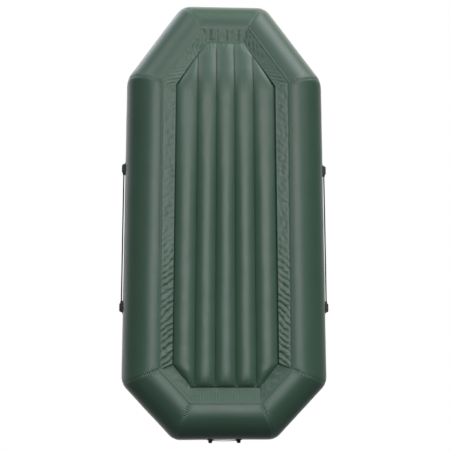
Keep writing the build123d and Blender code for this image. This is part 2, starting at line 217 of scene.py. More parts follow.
def mouldedFinish(name, look):
    material, tree, shader, place = startMaterial(name)
    made = addNode(tree, "ShaderNodeGroup", node_tree=scuffTree)
    feed(tree, made.inputs["Grain Scale"], look["grainScale"])
    feed(tree, made.inputs["Wear Scale"], look["wearScale"])
    feed(tree, made.inputs["Vector"], place)
    height, wear = made.outputs
    feed(tree, shader.inputs["Base Color"], mixColor(tree, wear, look["base"], look["worn"]))
    feed(tree, shader.inputs["Roughness"], mapValue(tree, wear, *look["roughness"]))
    feed(tree, shader.inputs["Metallic"], look["metal"])
    addBump(tree, shader, height, scuff["grainDepth"], look["grain"])
    return material


yarn = {"distortion": 0.4, "depth": 0.0006, "strength": 0.8}


def wovenFinish(name, look):  # crossing bands of yarn, for the rope and the webbing, with painted shade: the hollows between the yarns take a darker colour
    material, tree, shader, place = startMaterial(name)
    bands = []
    for angle in (look["lay"], -look["lay"]):
        turn = addNode(tree, "ShaderNodeMapping", {"Vector": place, "Rotation": (angle, 0, angle)})
        bands.append(bandValue(tree, turn.outputs["Vector"], look["yarnScale"], yarn["distortion"], "Y"))
    raised = mathNode(tree, "MAXIMUM", *bands)
    # painted shade: the colour darkens where the yarn bands are low, in the hollows of the weave
    feed(tree, shader.inputs["Base Color"], mixColor(tree, raised, look["paintedHollowShade"], look["raised"]))
    feed(tree, shader.inputs["Roughness"], look["roughness"])
    feed(tree, shader.inputs["Sheen Weight"], look["sheen"])
    addBump(tree, shader, raised, yarn["depth"], yarn["strength"])
    return material


fabricLooks = {
    "hull_fabric": {"dark": (0.050, 0.098, 0.069), "light": (0.061, 0.116, 0.083), "ribScale": 420.0,
                    "blotchScale": 7.0, "roughness": (0.27, 0.37), "ribs": 0.10, "streaks": 0.12,
                    "creases": {"strength": 0.5, "depth": 0.0015, "reach": 0.045, "count": 95.0,
                                "wobble": 9.0}},
    "floor_fabric": {"dark": (0.054, 0.105, 0.074), "light": (0.066, 0.124, 0.089), "ribScale": 420.0,
                     "blotchScale": 11.0, "roughness": (0.26, 0.38), "ribs": 0.10, "streaks": 0.2,
                     "creases": None},
    "hull_fabric_inner": {"dark": (0.10, 0.12, 0.11), "light": (0.12, 0.145, 0.13), "ribScale": 420.0,
                          "blotchScale": 11.0, "roughness": (0.5, 0.6), "ribs": 0.3, "streaks": 0.1,
                          "creases": None},
    "seam_tape": {"dark": (0.10, 0.12, 0.11), "light": (0.13, 0.15, 0.135), "ribScale": 300.0,
                  "blotchScale": 15.0, "roughness": (0.5, 0.6), "ribs": 0.4, "streaks": 0.1,
                  "creases": None},
}
mouldedLooks = {
    "black_rubber": {"base": (0.012, 0.012, 0.014), "worn": (0.022, 0.022, 0.024), "grainScale": 900.0,
                     "wearScale": 60.0, "roughness": (0.42, 0.62), "metal": 0.0, "grain": 0.25},
    "black_plastic": {"base": (0.016, 0.016, 0.018), "worn": (0.03, 0.03, 0.032), "grainScale": 1400.0,
                      "wearScale": 45.0, "roughness": (0.3, 0.48), "metal": 0.0, "grain": 0.12},
    "grey_plastic": {"base": (0.15, 0.155, 0.16), "worn": (0.19, 0.195, 0.2), "grainScale": 1400.0,
                     "wearScale": 50.0, "roughness": (0.34, 0.5), "metal": 0.0, "grain": 0.12},
    "steel": {"base": (0.62, 0.62, 0.63), "worn": (0.48, 0.48, 0.49), "grainScale": 2500.0,
              "wearScale": 120.0, "roughness": (0.2, 0.38), "metal": 1.0, "grain": 0.08},
}
# the darker colour of each weave is painted shade for the hollows between its yarns
wovenLooks = {
    "rope": {"paintedHollowShade": (0.006, 0.006, 0.007), "raised": (0.03, 0.03, 0.033), "yarnScale": 95.0,
             "lay": 0.7, "roughness": 0.62, "sheen": 0.2},
    "webbing": {"paintedHollowShade": (0.008, 0.008, 0.009), "raised": (0.032, 0.032, 0.035), "yarnScale": 160.0,
                "lay": 0.35, "roughness": 0.7, "sheen": 0.25},
}
finishes = {name: coatedFabric(name, look) for name, look in fabricLooks.items()}
finishes.update({name: mouldedFinish(name, look) for name, look in mouldedLooks.items()})
finishes.update({name: wovenFinish(name, look) for name, look in wovenLooks.items()})
print("finishes made:", len(finishes))


def dressFrame():  # every piece of the frame takes the finish of its own slot
    for entry in frame["record"]["subparts"]:
        materials = frame["nodes"][entry["node"]].data.materials
        materials.clear()
        materials.append(finishes[entry["material_slot"]])


dressFrame()


def linkPiece(name, data, slotName, body="hull"):
    piece = bpy.data.objects.new(name, data)
    bpy.context.scene.collection.objects.link(piece)
    piece.data.materials.append(finishes[slotName])
    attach(piece, body)
    return piece


def finishMesh(name, bm, slotName, body="hull"):
    mesh = bpy.data.meshes.new(name)
    bm.to_mesh(mesh)
    bm.free()
    mesh.shade_smooth()
    return linkPiece(name, mesh, slotName, body)


weldDistance = 0.00002


def bentGrid(columns, rows, place):  # a flat grid bent into shape, its touching edges welded
    bm = bmesh.new()
    bm.loops.layers.uv.new("UVMap")
    bmesh.ops.create_grid(bm, x_segments=columns, y_segments=rows, size=1.0, calc_uvs=True)
    for vert in bm.verts:
        vert.co = place((vert.co.x + 1) / 2, (vert.co.y + 1) / 2)
    bmesh.ops.remove_doubles(bm, verts=bm.verts, dist=weldDistance)
    bmesh.ops.recalc_face_normals(bm, faces=bm.faces)
    return bm


def closeHoles(bm):
    bmesh.ops.holes_fill(bm, edges=[e for e in bm.edges if e.is_boundary], sides=0)
    bmesh.ops.recalc_face_normals(bm, faces=bm.faces)


def thicken(piece, thickness):
    solid = piece.modifiers.new("thickness", "SOLIDIFY")
    solid.thickness = thickness
    solid.offset = 0.0


pocket = {"radius": 0.0153, "hullDepth": 0.030, "cellDepth": 0.029, "sides": 64, "sharpFrom": 60.0}


def cutPockets(piece, names, depth):  # round pockets for the valves, sunk straight down into a closed piece
    bm = bmesh.new()
    for name in names:
        bmesh.ops.create_cone(bm, cap_ends=True, segments=pocket["sides"], radius1=pocket["radius"],
                              radius2=pocket["radius"], depth=2 * depth,
                              matrix=Matrix.Translation(valveTop(name)))
    mesh = bpy.data.meshes.new("cutter")
    bm.to_mesh(mesh)
    bm.free()
    cutter = bpy.data.objects.new("cutter", mesh)
    bpy.context.scene.collection.objects.link(cutter)
    cut = piece.modifiers.new("pocket", "BOOLEAN")
    cut.operation = "DIFFERENCE"
    cut.solver = "EXACT"
    cut.object = cutter
    seen = piece.evaluated_get(bpy.context.evaluated_depsgraph_get())
    carved = bpy.data.meshes.new_from_object(seen)
    piece.modifiers.clear()
    piece.data = carved
    carved.shade_smooth()
    carved.set_sharp_from_angle(angle=radians(pocket["sharpFrom"]))
    bpy.data.objects.remove(cutter)


def valveTop(name):  # the middle of the top of a valve's plunger
    low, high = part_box(f"valve_{name}_plunger")
    return Vector(((low[0] + high[0]) / 2, (low[1] + high[1]) / 2, high[2]))


def bell(value, width):
    return exp(-(value / width) ** 2)


def smoothStep(low, high, value):
    share = min(1.0, max(0.0, (value - low) / (high - low)))
    return share * share * (3 - 2 * share)


noiseShift = {"y": 0.37, "z": 3.1}


def wander(point, scale, seed=0.0):  # smooth random value from -1 to 1
    return noise.noise(Vector(point) * scale + Vector((seed, seed * noiseShift["y"], noiseShift["z"])))


def ruffle(point, height, scale, seed=0.0):
    return height * wander(point, scale, seed)


def newCurve(name, wire, steps, ringSteps):
    curve = bpy.data.curves.new(name, "CURVE")
    curve.dimensions = "3D"
    curve.resolution_u = steps
    curve.bevel_depth = wire
    curve.bevel_resolution = ringSteps
    return curve


grabRope = {
    "thickness": 0.008,
    "length": 0.8495,
    "route": [(0.60641, -0.29499, 0.174), (0.60803, -0.06565, 0.171),
              (0.61066, 0.30809, 0.17055), (0.61239, 0.55441, 0.174)],
    "steps": 24,
    "ringSteps": 5,
    "order": 3,
}


def makeRope(side, sign):
    curve = newCurve(f"grabRope_{side}", grabRope["thickness"] / 2, grabRope["steps"], grabRope["ringSteps"])
    curve.use_fill_caps = True
    spline = curve.splines.new("NURBS")
    spline.points.add(len(grabRope["route"]) - 1)
    for point, (x, y, z) in zip(spline.points, grabRope["route"]):
        point.co = (sign * x, y, z, 1)
    spline.order_u = grabRope["order"]
    spline.use_endpoint_u = True
    rope = linkPiece(f"grabRope_{side}", curve, "rope")
    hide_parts(f"grab_rope_{side}")


for side, sign in (("port", 1), ("starboard", -1)):
    makeRope(side, sign)
print("grab ropes made")

hull = {
    "radius": 0.174,
    "corners": [(0.420, -0.779, 0.174), (0.432, 0.925, 0.174), (0.223, 1.146, 0.174),
                (-0.223, 1.146, 0.174), (-0.432, 0.925, 0.174), (-0.420, -0.779, 0.174),
                (-0.173, -1.164, 0.289), (0.173, -1.164, 0.289)],
    "around": 160,
    "step": 0.045,
    "nearCorner": (0.0, 0.003, 0.006, 0.010, 0.015, 0.021, 0.028, 0.037, 0.048, 0.062),
    "outerRounding": 0.044,
    "bowRounding": 0.060,
    "lowerRounding": 0.011,
    "roundingFade": 1.2,
    "longestRounding": 0.4,
    "seamDip": 0.0010,
    "seamWidth": 0.007,
    "stripEdge": 0.0125,
    "stripLip": 0.0004,
    "stripWidth": 0.004,
    "pucker": {"height": 0.0016, "reach": 0.04, "count": 46, "turn": 0.6, "fade": 0.7, "wobble": 5,
               "wobbleScale": 9.0},
    "ripples": [(0.0010, 5.5), (0.0004, 14.0, 7.0)],  # height, scale and seed
}
tubeNodes = ["tube_port", "tube_stern_port", "tube_stern", "tube_stern_starboard",
             "tube_starboard", "tube_bow_starboard", "tube_bow", "tube_bow_port"]
corners = [Vector(c) for c in hull["corners"]]
sideCount = len(corners)
bowCorners = (6, 7)
ways = [(corners[(i + 1) % sideCount] - corners[i]).normalized() for i in range(sideCount)]
mitres = [(ways[i - 1] + ways[i]).normalized() for i in range(sideCount)]


def carrySpokes():  # outward and upward spokes of each run, carried round the bends without twist
    spokes = [None] * sideCount
    stern = tubeNodes.index("tube_stern")
    up = Vector((0, 0, 1))
    for step in range(sideCount):
        i = (stern + step) % sideCount
        spokes[i] = (ways[i].cross(up).normalized(), up.copy())
        up = ways[i].rotation_difference(ways[(i + 1) % sideCount]) @ up
    return spokes


spokes = carrySpokes()


def mitrePoint(i, run, spoke):  # where a line along a run's surface meets the mitre plane
    slide = -spoke.dot(mitres[i]) * hull["radius"] / ways[run].dot(mitres[i])
    return corners[i] + spoke * hull["radius"] + ways[run] * slide


def roundCorner(point, before, after, reach, distance, side):  # side is -1 before the mitre, 1 after it
    share = min(1.0, distance / reach)
    t = (1 + side * share) / 2
    start, end = point - before * reach, point + after * reach
    return start * (1 - t) ** 2 + point * 2 * t * (1 - t) + end * t ** 2


def tubePoint(i, share, angle):
    out, up = spokes[i]
    spoke = out * cos(angle) + up * sin(angle)
    nextCorner = (i + 1) % sideCount
    first, last = mitrePoint(i, i, spoke), mitrePoint(nextCorner, i, spoke)
    length = (last - first).length
    before, after = length * share, length * (1 - share)
    nearest = i if before < after else nextCorner
    outerReach = hull["bowRounding"] if nearest in bowCorners else hull["outerRounding"]
    outward = max(0.0, cos(angle)) ** hull["roundingFade"]
    reach = hull["lowerRounding"] + (outerReach - hull["lowerRounding"]) * outward
    reach = min(reach, length * hull["longestRounding"])
    if before < reach:
        point = roundCorner(first, ways[i - 1], ways[i], reach, before, 1)
    elif after < reach:
        point = roundCorner(last, ways[i], ways[nextCorner], reach, after, -1)
    else:
        point = first + ways[i] * before
    away = min(before, after)
    lift = hull["stripLip"] * bell(away - hull["stripEdge"], hull["stripWidth"])
    lift -= hull["seamDip"] * bell(away, hull["seamWidth"])
    pucker = hull["pucker"]
    inner = max(0.0, -cos(angle + pucker["turn"])) ** pucker["fade"]
    fold = sin(angle * pucker["count"] + ruffle(point, pucker["wobble"], pucker["wobbleScale"]))
    lift += pucker["height"] * inner * bell(away, pucker["reach"]) * fold
    lift += sum(ruffle(point, *ripple) for ripple in hull["ripples"])
    return point + spoke * lift


def runStations(i):
    length = (corners[(i + 1) % sideCount] - corners[i]).length
    near = [d / length for d in hull["nearCorner"]]
    count = max(2, round(length * (1 - 2 * near[-1]) / hull["step"]))
    middle = [near[-1] + (1 - 2 * near[-1]) * k / count for k in range(1, count)]
    return [(i, s) for s in [*near, *middle, *[1 - s for s in near[:0:-1]]]]


def makeHull():
    stations = [s for i in range(sideCount) for s in runStations(i)]
    stations.append(stations[0])
    rows = len(stations) - 1

    def place(u, v):
        i, share = stations[round(v * rows)]
        return tubePoint(i, share, 2 * pi * u)

    return finishMesh("hullSkin", bentGrid(hull["around"], rows, place), "hull_fabric")


def markSeams(piece):  # how far each point is from the nearest mitre, and where it is round the tube
    mesh = piece.data
    seam = mesh.attributes.new("seamDistance", "FLOAT", "POINT")
    around = mesh.attributes.new("aroundTube", "FLOAT", "POINT")
    sideways = [mitre.cross(Vector((0, 0, 1))).normalized() for mitre in mitres]
    for vert in mesh.vertices:
        nearest = min(range(sideCount), key=lambda k: (vert.co - corners[k]).length)
        spoke = vert.co - corners[nearest]
        seam.data[vert.index].value = abs(spoke.dot(mitres[nearest]))
        around.data[vert.index].value = atan2(spoke.z, abs(spoke.dot(sideways[nearest])))


hullSkin = makeHull()
cutPockets(hullSkin, ("port", "starboard"), pocket["hullDepth"])
markSeams(hullSkin)
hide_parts(*tubeNodes)
print("hull skin:", len(hullSkin.data.polygons), "faces")

tape = {"halfWidth": 0.020, "inside": 0.0024, "thickness": 0.0006, "around": 96, "across": 8}
tapeNames = ["bow_shoulder_port", "stern_shoulder_port", "stern_corner_port", "stern_corner_starboard",
             "stern_shoulder_starboard", "bow_shoulder_starboard", "bow_corner_starboard", "bow_corner_port"]


def makeTape(i, name):  # the band that seals a mitre, just inside the hull skin
    def place(u, v):
        along = (2 * v - 1) * tape["halfWidth"]
        run = i if along >= 0 else (i - 1) % sideCount
        length = (corners[(run + 1) % sideCount] - corners[run]).length
        share = abs(along) / length
        out, up = spokes[run]
        spoke = out * cos(2 * pi * u) + up * sin(2 * pi * u)
        return tubePoint(run, share if run == i else 1 - share, 2 * pi * u) - spoke * tape["inside"]

    band = finishMesh(f"seamTape_{name}", bentGrid(tape["around"], tape["across"], place), "seam_tape")
    thicken(band, tape["thickness"])
    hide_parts(f"seam_tape_{name}")


for i, name in enumerate(tapeNames):
    makeTape(i, name)
print("seam tapes made")

mat = {
    "weldHeight": 0.031,
    "foldY": -0.800,
    "foldSoftness": 0.090,
    "bowSlope": 0.2987,
    "bowEnd": -1.064,
    "bowHalfWidth": 0.112,
    "shoulder": (0.2931, -0.771),
    "sternShoulder": (0.3060, 0.8790),
    "sternEnd": 1.010,
    "sternHalfWidth": 0.198,
    "edgesBow": (0.053, 0.165),
    "edgesStern": (0.060, 0.179),
    "crossingGap": 0.00001,
    "crossingTries": 40,
}
valveCell = 3
cellShape = {
    "bulge": 0.0225,
    "topBulge": 0.0195,
    "bowBulge": 0.46,
    "slackBetween": (0.0, -0.75),
    "crown": 2.3,
    "roundness": 0.72,
    "endReach": 0.078,
    "endCurve": 0.014,
    "narrowHalf": 0.05,
    "narrowFade": 0.8,
    "leastHalf": 0.0004,
    "skin": 0.00045,
    "weldFrom": 0.999,
    "along": 230,
    "around": 44,
    "fill": 0.9,
}
cellFolds = {
    "cross": {"height": 0.0017, "count": 290, "wobble": 9, "wobbleScale": 9.0, "even": 0.6, "patchy": 0.8,
              "patchScale": 17.0, "patchSeed": 2.0, "sternShare": 0.35, "between": (0.2, -0.9)},
    "blister": {"height": 0.0010, "scale": 13.0, "seed": 4.0},
    "end": {"height": 0.0022, "width": 0.55, "count": 9, "wobble": 4, "wobbleScale": 20.0, "seed": 2.0},
}


def matHeight(y):  # height of the weld lines: flat, then turning up softly towards the bow
    reach, ahead = mat["foldSoftness"], mat["foldY"] - y
    if ahead < -reach:
        rise = 0.0
    elif ahead > reach:
        rise = ahead
    else:
        rise = (ahead + reach) ** 2 / (4 * reach)
    return mat["weldHeight"] + mat["bowSlope"] * rise


def lineX(y, start, end):
    return start[0] + (end[0] - start[0]) * (y - start[1]) / (end[1] - start[1])


def matHalfWidth(y):
    side = lineX(y, mat["shoulder"], mat["sternShoulder"])
    bow = lineX(y, (mat["bowHalfWidth"], mat["bowEnd"]), mat["shoulder"])
    stern = lineX(y, mat["sternShoulder"], (mat["sternHalfWidth"], mat["sternEnd"]))
    return min(side, bow, stern)


def cellLine(k, y):  # x of weld line k, from 0 at the starboard edge to 5 at the port edge
    limit = matHalfWidth(y)
    if k in (0, 5):
        return limit if k == 5 else -limit
    rank = (k - 3) if k > 2 else (2 - k)
    sign = 1 if k > 2 else -1
    bow, stern = mat["edgesBow"][rank], mat["edgesStern"][rank]
    x = lineX(y, (bow, mat["bowEnd"]), (stern, mat["sternEnd"]))
    return sign * min(x, limit)


def crossing(k, low, high):  # y where weld line k runs into the slanting edge of the mat
    for _ in range(mat["crossingTries"]):
        y = (low + high) / 2
        gap = matHalfWidth(y) - abs(cellLine(k, y))
        if gap > mat["crossingGap"]:
            low = y
        else:
            high = y
    return low


def cellEnds(k):
    inner = k + 1 if k < 2 else k
    if k in (0, 4):
        return crossing(inner, 0.0, mat["bowEnd"]), crossing(inner, 0.0, mat["sternEnd"])
    return mat["bowEnd"], mat["sternEnd"]


def cellFoldLift(k, point, across, end, fullness, lip):  # folds across the cell, blisters and end gathers
    cross, blister, gather = cellFolds["cross"], cellFolds["blister"], cellFolds["end"]
    y = point.y
    groove = abs(across) ** 3 * (1 - abs(across) ** 12)
    bowward = cross["sternShare"] + (1 - cross["sternShare"]) * smoothStep(*cross["between"], y)
    fold = sin(y * cross["count"] + ruffle(point, cross["wobble"], cross["wobbleScale"], k))
    fold *= cross["even"] + ruffle(point, cross["patchy"], cross["patchScale"], k + cross["patchSeed"])
    lift = cross["height"] * bowward * groove * lip * fold
    lift += lip * fullness * ruffle(point, blister["height"], blister["scale"], blister["seed"] + k)
    gathers = sin(across * gather["count"] + ruffle(point, gather["wobble"], gather["wobbleScale"],
                                                    gather["seed"]))
    return lift + gather["height"] * bell(end, gather["width"]) * fullness * lip * gathers


def makeCell(k):
    look = cellShape
    bowEnd, sternEnd = cellEnds(k)
    span = sternEnd - bowEnd

    def place(u, v):
        y = sternEnd - span * v
        left, right = cellLine(k, y), cellLine(k + 1, y)
        middle, half = (left + right) / 2, max(look["leastHalf"], (right - left) / 2)
        across = -cos(2 * pi * u)
        point = Vector((middle + half * across, y, matHeight(y)))
        if abs(across) > look["weldFrom"]:
            return point
        fullness = (1 - abs(across) ** look["crown"]) ** look["roundness"]
        toEnd = min(y - bowEnd, sternEnd - y) - look["endCurve"] * across ** 4
        end = min(1.0, max(0.0, toEnd / look["endReach"]))
        lip = sqrt(max(0.0, 1 - (1 - end) ** 2))
        narrow = min(1.0, half / look["narrowHalf"]) ** look["narrowFade"]
        slack = 1 - (1 - look["bowBulge"]) * smoothStep(*look["slackBetween"], y)
        height = look["bulge"] * slack * fullness * lip * narrow
        height += cellFoldLift(k, point, across, end, fullness, lip)
        if sin(2 * pi * u) >= 0:
            point.z += max(look["skin"], height * look["topBulge"] / look["bulge"])
        else:
            point.z -= max(look["skin"], height)
        return point

    bm = bentGrid(look["around"], look["along"], place)
    closeHoles(bm)
    cell = finishMesh(f"airCell_{k + 1}", bm, "floor_fabric")
    if k == valveCell:
        cutPockets(cell, ("floor",), pocket["cellDepth"])
    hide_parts(f"floor_cell_{k + 1}")


for k in range(5):
    makeCell(k)
print("air cells made")

# the bottom sheet: a strip glued under the tubes, then a wrinkled skirt in to the air floor
skirt = {
    "seamAngle": 13.5,
    "leaveAngle": 18.0,
    "bowExtraAngle": 3.5,
    "gap": 0.0009,
    "thickness": 0.0009,
    "step": 0.0055,
    "rows": 28,
    "stripRows": 4,
    "rowCrowding": 1.4,
    "flatShare": {0: 0.36, 1: 1.15, 2: 1.2, 3: 1.15, 4: 0.36, 5: 0.45, 6: 0.5, 7: 0.45},
    "kneeAt": 0.95,
    "lip": 0.0010,
    "lipWidth": 0.035,
    "heldUpTo": 0.12,
    "heldFrom": 0.93,
    "creaseBesideStrip": 0.0012,
    "creaseAt": 0.04,
    "creaseWidth": 0.035,
    "stripPucker": 0.00015,
    "stripPuckerWidth": 0.35,
    "stripPuckerScale": 45.0,
    "stripPuckerSeed": 6.0,
    "crumples": [(0.0008, 26.0), (0.0005, 60.0, 5.0)],  # height, scale and seed, here and below
}
sidePleat = {"period": 0.041, "slant": 0.058, "height": 0.0056, "wobble": (0.6, 11.0, 8.0), "middle": 0.6,
             "bowShare": 0.22, "grows": (0.05, 0.55), "even": 0.7, "patchy": (0.6, 7.0, 1.0), "least": 0.2,
             "crumple": (0.0010, 40.0, 2.0), "tuck": 0.0008, "tuckCount": 190, "tuckWobble": (5, 15.0)}
bowPleat = {"height": 0.0035, "fades": (1.0, 0.7), "drift": (0.012, 1.0), "driftX": 30, "driftY": 8,
            "crumple": (0.0012, 60.0, 9.0), "sunk": 0.003,
            "folds": [(-0.123, 0.011, 1.0), (-0.074, 0.017, 1.25), (-0.036, 0.010, 0.9),
                      (-0.013, 0.008, 0.7), (0.021, 0.011, 1.0), (0.050, 0.010, 0.8),
                      (0.097, 0.015, 1.1), (0.128, 0.008, 0.6)]}  # place, width and share of the height
bowSidePleat = {"height": 0.0035, "grows": (-0.85, -1.10), "period": 0.024, "wobble": (0.6, 14.0),
                "middle": 0.55, "backHeight": 0.0028, "backGrows": (-0.93, -0.80), "backPeriod": 0.022,
                "backSlant": 0.25, "backMiddle": 0.6, "crumple": (0.0014, 30.0, 6.0)}
sternPleat = {"period": 0.0155, "height": 0.0014, "wobble": (0.5, 16.0, 3.0), "even": 0.7,
              "patchy": (0.6, 8.0, 4.0)}
sternSidePleat = {"height": 0.0024, "grows": (0.95, 1.06), "period": 0.020, "wobble": (0.5, 20.0),
                  "middle": 0.6, "crumple": (0.0016, 28.0, 12.0)}
bowRun = tubeNodes.index("tube_bow")
bowRise = atan2(corners[7].z - corners[0].z, corners[0].y - corners[7].y)
bowUp = Vector((0, sin(bowRise), cos(bowRise)))


def runUp(i):
    return bowUp if i % sideCount >= tubeNodes.index("tube_bow_starboard") else Vector((0, 0, 1))


def underTube(i, angle):  # corner of a line under the tubes, inboard of their lowest line by an angle
    way = ways[i]
    mean = Vector((0, 0, 0))
    for run in (i - 1, i):
        lean = radians(angle + (skirt["bowExtraAngle"] if run == bowRun else 0.0))
        out = ways[run].cross(runUp(run)).normalized() * -sin(lean)
        out -= runUp(run) * cos(lean)
        end = out - ways[run] * out.dot(mitres[i]) / ways[run].dot(mitres[i])
        mean += (end - way * end.dot(way)).normalized()
    mean.normalize()
    return corners[i] + (mean - way * mean.dot(mitres[i]) / way.dot(mitres[i])) * (
        hull["radius"] + skirt["gap"])


def matCorners():
    places = [mat["shoulder"], mat["sternShoulder"], (mat["sternHalfWidth"], mat["sternEnd"])]
    port = [Vector((x, y, matHeight(y))) for x, y in places]
    bow = Vector((mat["bowHalfWidth"], mat["bowEnd"], matHeight(mat["bowEnd"])))
    flip = [Vector((-p.x, p.y, p.z)) for p in reversed(port)]
    return [*port, *flip, Vector((-bow.x, bow.y, bow.z)), bow]


innerCorners = matCorners()
seamCorners = [underTube(i, skirt["seamAngle"]) for i in range(sideCount)]
leaveCorners = [underTube(i, skirt["leaveAngle"]) for i in range(sideCount)]


def ontoTube(i, point, extra=0.0):  # moves a point straight out to just clear of its tube
    foot = corners[i] + ways[i] * (point - corners[i]).dot(ways[i])
    return foot + (point - foot).normalized() * (hull["radius"] + skirt["gap"] + extra)


pleatSharpness = 0.55


def valley(value):  # broad crests with narrow folds between them
    return abs(sin(pi * value)) ** pleatSharpness


def skirtRise(i, across):  # nearly flat beside the tube, then a sharp fold up to the mat
    flat, knee = skirt["flatShare"][i], skirt["kneeAt"]
    if across < knee:
        return flat * across / knee
    return flat + (1 - flat) * (across - knee) / (1 - knee)


def sideLift(point, across):
    look = sidePleat
    phase = (point.y + look["slant"] * across) / look["period"] + ruffle(point, *look["wobble"])
    strong = look["bowShare"] + (1 - look["bowShare"]) * smoothStep(*look["grows"], point.y)
    patchy = max(look["least"], look["even"] + ruffle(point, *look["patchy"]))
    lift = look["height"] * strong * patchy * (valley(phase) - look["middle"])
    lift += look["tuck"] * sin(point.y * look["tuckCount"] + ruffle(point, *look["tuckWobble"])) * strong
    return lift + ruffle(point, *look["crumple"])


def bowLift(point, across):
    look = bowPleat
    lift = ruffle(point, *look["crumple"]) - look["sunk"]
    for place, width, height in look["folds"]:
        drift = ruffle((place * look["driftX"], point.y * look["driftY"], 0.0), *look["drift"])
        crest = height * bell(point.x - place - drift, width)
        lift += look["height"] * crest * smoothStep(*look["fades"], across)
    return lift


def bowSideLift(point, across):
    look = bowSidePleat
    phase = point.x / look["period"] + ruffle(point, *look["wobble"])
    lift = look["height"] * smoothStep(*look["grows"], point.y) * (valley(phase) - look["middle"])
    back = (point.y - look["backSlant"] * abs(point.x)) / look["backPeriod"]
    lift += look["backHeight"] * smoothStep(*look["backGrows"], point.y) * (valley(back) - look["backMiddle"])
    return lift + ruffle(point, *look["crumple"])


def sternLift(point, across):
    look = sternPleat
    phase = point.x / look["period"] + ruffle(point, *look["wobble"])
    return look["height"] * (look["even"] + ruffle(point, *look["patchy"])) * sin(2 * pi * phase)


def sternSideLift(point, across):
    look = sternSidePleat
    phase = point.x / look["period"] + ruffle(point, *look["wobble"])
    lift = look["height"] * smoothStep(*look["grows"], point.y) * (valley(phase) - look["middle"])
    return lift + ruffle(point, *look["crumple"])


runLifts = [sideLift, sternSideLift, sternLift, sternSideLift, sideLift, bowSideLift, bowLift, bowSideLift]


def skirtLift(i, across, point):  # how far the skirt stands off its flat shape, from tube (0) to mat (1)
    hold = smoothStep(0.0, skirt["heldUpTo"], across) * smoothStep(1.0, skirt["heldFrom"], across)
    lift = sum(ruffle(point, *crumple) for crumple in skirt["crumples"])
    lift += skirt["lip"] * bell(across - skirt["kneeAt"], skirt["lipWidth"])
    lift += runLifts[i](point, across)
    crease = skirt["creaseBesideStrip"] * bell(across - skirt["creaseAt"], skirt["creaseWidth"])
    return lift * hold - crease


def stripPoint(i, seam, leave, share):  # on the strip that is glued to the tube
    spot = seam.lerp(leave, share)
    pucker = skirt["stripPucker"] * bell(share - 0.5, skirt["stripPuckerWidth"])
    pucker *= 1 + wander(spot, skirt["stripPuckerScale"], skirt["stripPuckerSeed"])
    return ontoTube(i, spot, pucker)


def makeSheet():
    columns = []
    for i in range(sideCount):
        length = (seamCorners[(i + 1) % sideCount] - seamCorners[i]).length
        count = max(4, round(length / skirt["step"]))
        columns += [(i, k / count) for k in range(count)]
    columns.append((0, 0.0))
    total, rows, stripRows = len(columns) - 1, skirt["rows"], skirt["stripRows"]

    def place(u, v):
        i, share = columns[round(u * total)]
        row = round(v * rows)
        j = (i + 1) % sideCount
        seam = seamCorners[i].lerp(seamCorners[j], share)
        leave = leaveCorners[i].lerp(leaveCorners[j], share)
        inner = innerCorners[i].lerp(innerCorners[j], share)
        inner.z = matHeight(inner.y)
        if row <= stripRows:
            return stripPoint(i, seam, leave, row / stripRows)
        leave = ontoTube(i, leave)
        across = 1 - (1 - (row - stripRows) / (rows - stripRows)) ** skirt["rowCrowding"]
        point = leave.lerp(inner, across)
        point.z = leave.z + (inner.z - leave.z) * skirtRise(i, across)
        down = (inner - leave).cross(ways[i]).normalized()
        if down.z > 0:
            down.negate()
        return point + down * skirtLift(i, across, point)

    piece = finishMesh("bottomSheet", bentGrid(total, rows, place), "floor_fabric")
    thicken(piece, skirt["thickness"])
    return piece


bottomSheet = makeSheet()
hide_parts("bottom_sheet")
sheetArea = sum(f.area for f in bottomSheet.data.polygons)
print("bottom sheet:", len(bottomSheet.data.polygons), "faces, area", round(sheetArea, 4))


touching = 0.000002


def softenEdges(bm, offset, segments=2, angle=38.0):  # joins what touches, then rounds every sharp edge
    bmesh.ops.remove_doubles(bm, verts=bm.verts, dist=touching)
    bmesh.ops.recalc_face_normals(bm, faces=bm.faces)
    sharp = [e for e in bm.edges if len(e.link_faces) == 2 and e.calc_face_angle() > radians(angle)]
    bmesh.ops.bevel(bm, geom=sharp, offset=offset, offset_type="OFFSET", segments=segments,
                    profile=0.5, affect="EDGES", material=-1, clamp_overlap=True)


def turnedShape(profile, steps=64, closed=True):  # (radius, height) points turned about Z
    bm = bmesh.new()
    verts = [bm.verts.new((radius, 0, height)) for radius, height in profile]
    pairs = list(zip(verts, verts[1:]))
    if closed:
        pairs.append((verts[-1], verts[0]))
    edges = [bm.edges.new(pair) for pair in pairs]
    bmesh.ops.spin(bm, geom=[*verts, *edges], cent=(0, 0, 0), axis=(0, 0, 1), angle=2 * pi,
                   steps=steps, use_merge=True, use_duplicate=False)
    return bm


def blockShape(length, width, low, high, taper=1.0):  # a box on the XY plane, narrowed towards its top
    bm = bmesh.new()
    bmesh.ops.create_cube(bm, size=1.0)
    bmesh.ops.scale(bm, vec=(length, width, high - low), verts=bm.verts)
    bmesh.ops.translate(bm, vec=(0, 0, (high + low) / 2), verts=bm.verts)
    top = [v for v in bm.verts if v.co.z > (high + low) / 2]
    bmesh.ops.scale(bm, vec=(taper, (1 + taper) / 2, 1), verts=top)
    return bm


def addShape(whole, part, place=Matrix()):
    part.transform(place)
    mesh = bpy.data.meshes.new("part")
    part.to_mesh(mesh)
    part.free()
    whole.from_mesh(mesh)
    bpy.data.meshes.remove(mesh)


def addBlock(whole, size, rounding, place=Matrix(), segments=2, angle=38.0):
    block = blockShape(*size)
    softenEdges(block, rounding, segments, angle)
    addShape(whole, block, place)


def finishFitting(name, bm, slotName, place, body="hull", stands=None, crease=45.0):
    bmesh.ops.recalc_face_normals(bm, faces=bm.faces)
    bm.transform(place)
    piece = finishMesh(name, bm, slotName, body)
    piece.data.set_sharp_from_angle(angle=radians(crease))
    if stands:
        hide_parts(stands)
    return piece


